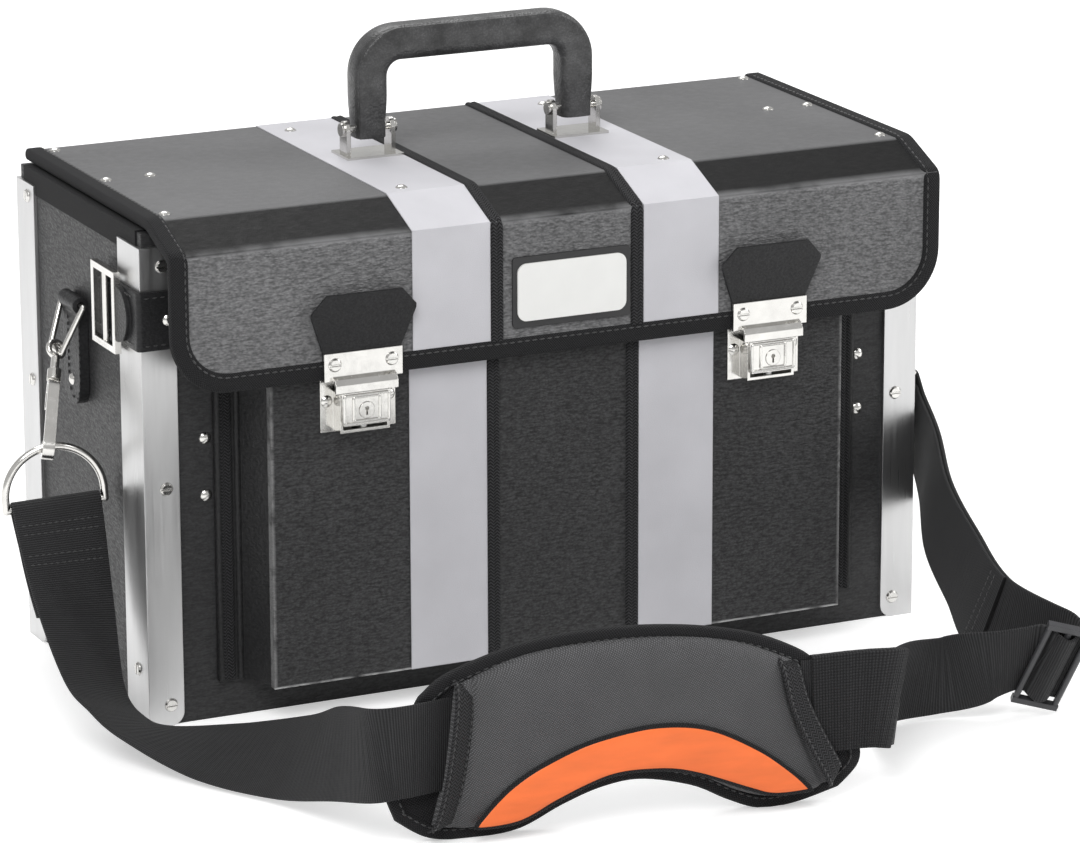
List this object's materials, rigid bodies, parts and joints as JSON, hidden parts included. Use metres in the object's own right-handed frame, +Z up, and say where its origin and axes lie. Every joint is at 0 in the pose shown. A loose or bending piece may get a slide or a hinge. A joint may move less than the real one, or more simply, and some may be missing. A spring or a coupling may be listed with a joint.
{
  "type": "hard tool case",
  "caption": "Boxed tool case with aluminium corner angles, front pocket, folded lid with two keyed locks, folding carry handle and padded shoulder strap",
  "frame": {"origin": "on the floor, under the middle of the box", "axes": "+X to the right along the width, the front with the locks faces -Y, +Z up"},
  "size_m": [0.5196, 0.4278, 0.333],
  "materials": {
    "wall_leatherette": "black grained leatherette over board, satin",
    "lid_leatherette": "charcoal grained leatherette, satin sheen",
    "base_fibreboard": "black fibreboard, matt",
    "binding_tape": "woven black binding tape, stitched",
    "grey_stripe": "light grey reflective tape, satin",
    "angle_aluminium": "satin aluminium angle",
    "bright_nickel": "bright nickel plate",
    "zinc_steel": "zinc plated steel",
    "handle_plastic": "black moulded grip, fine grain",
    "badge_enamel": "blank enamelled badge",
    "strap_leather": "black strap leather",
    "strap_webbing": "black woven webbing",
    "pad_mesh": "dark grey woven mesh",
    "pad_edging": "black bound edging and backing",
    "pad_orange": "orange coated fabric",
    "adjuster_plastic": "dark moulded slide"
  },
  "bodies": {
    "case": {"base_board": "base_fibreboard", "front_panel": "wall_leatherette", "back_panel": "wall_leatherette", "left_panel": "wall_leatherette", "right_panel": "wall_leatherette", "rim_bindings": "binding_tape", "front_angles": "angle_aluminium", "rear_angles": "angle_aluminium", "case_screws": "bright_nickel", "case_rivets": "bright_nickel", "tool_rails": "zinc_steel", "tool_board": "base_fibreboard", "pocket_board": "wall_leatherette", "pocket_floor": "wall_leatherette", "pocket_gussets": "wall_leatherette", "pocket_stripes": "grey_stripe", "pocket_strips": "binding_tape", "hinge_leaf_back": "zinc_steel", "hinge_pin": "zinc_steel", "lock_base_left": "bright_nickel", "lock_base_right": "bright_nickel", "lock_spring_left": "zinc_steel", "lock_spring_right": "zinc_steel", "corner_bands": "strap_leather", "band_buckles": "bright_nickel", "hanger_tabs": "strap_leather", "wire_loops": "bright_nickel", "snap_hook_left": "bright_nickel", "snap_hook_right": "bright_nickel", "d_ring_left": "bright_nickel", "d_ring_right": "bright_nickel", "webbing_left": "strap_webbing", "webbing_right": "strap_webbing", "strap_adjuster": "adjuster_plastic", "pad_backing": "pad_edging", "pad_cushion": "pad_mesh", "pad_insert": "pad_orange"},
    "lid": {"lid_board": "lid_leatherette", "lid_binding": "binding_tape", "lid_stripes": "grey_stripe", "lid_strips": "binding_tape", "label_plate": "badge_enamel", "lid_rivets": "bright_nickel", "hasp_left": "bright_nickel", "hasp_right": "bright_nickel", "pull_tabs": "strap_leather", "hasp_screws": "bright_nickel", "hinge_leaf_lid": "zinc_steel", "handle_pins": "bright_nickel", "handle_brackets": "bright_nickel"},
    "handle": {"handle_grip": "handle_plastic"},
    "button_left": {"lock_button_left": "bright_nickel"},
    "button_right": {"lock_button_right": "bright_nickel"},
    "key_left": {"key_cylinder_left": "zinc_steel"},
    "key_right": {"key_cylinder_right": "zinc_steel"},
    "gate_left": {"hook_gate_left": "bright_nickel"},
    "gate_right": {"hook_gate_right": "bright_nickel"}
  },
  "joints": [
    {"name": "lid_hinge", "type": "hinge", "parent": "case", "child": "lid", "pos_m": [0, 0.0886, 0.2574], "axis": [-1, 0, 0], "range_deg": [0, 105]},
    {"name": "handle_fold", "type": "hinge", "parent": "lid", "child": "handle", "pos_m": [0, -0.002, 0.2785], "axis": [1, 0, 0], "range_deg": [-85, 85]},
    {"name": "lock_button_left_slide", "type": "slide", "parent": "case", "child": "button_left", "axis": [0, 0, -1], "range_m": [0, 0.0035], "stiffness_N_per_m": 300, "springref_m": -0.003, "deforming": ["lock_spring_left"]},
    {"name": "key_left_turn", "type": "hinge", "parent": "button_left", "child": "key_left", "pos_m": [-0.1145, -0.124, 0.1645], "axis": [0, -1, 0], "range_deg": [0, 90]},
    {"name": "lock_button_right_slide", "type": "slide", "parent": "case", "child": "button_right", "axis": [0, 0, -1], "range_m": [0, 0.0035], "stiffness_N_per_m": 300, "springref_m": -0.003, "deforming": ["lock_spring_right"]},
    {"name": "key_right_turn", "type": "hinge", "parent": "button_right", "child": "key_right", "pos_m": [0.1145, -0.124, 0.1645], "axis": [0, -1, 0], "range_deg": [0, 90]},
    {"name": "hook_gate_left_swing", "type": "hinge", "parent": "case", "child": "gate_left", "pos_m": [-0.24172, -0.01481, 0.15369], "axis": [-0.9376, 0.3122, 0.1534], "range_deg": [0, 16], "stiffness_Nm_per_rad": 0.02, "springref_deg": -11.46},
    {"name": "hook_gate_right_swing", "type": "hinge", "parent": "case", "child": "gate_right", "pos_m": [0.23064, -0.01895, 0.15487], "axis": [0.1249, -0.7888, 0.6018], "range_deg": [0, 16], "stiffness_Nm_per_rad": 0.02, "springref_deg": -11.46}
  ]
}
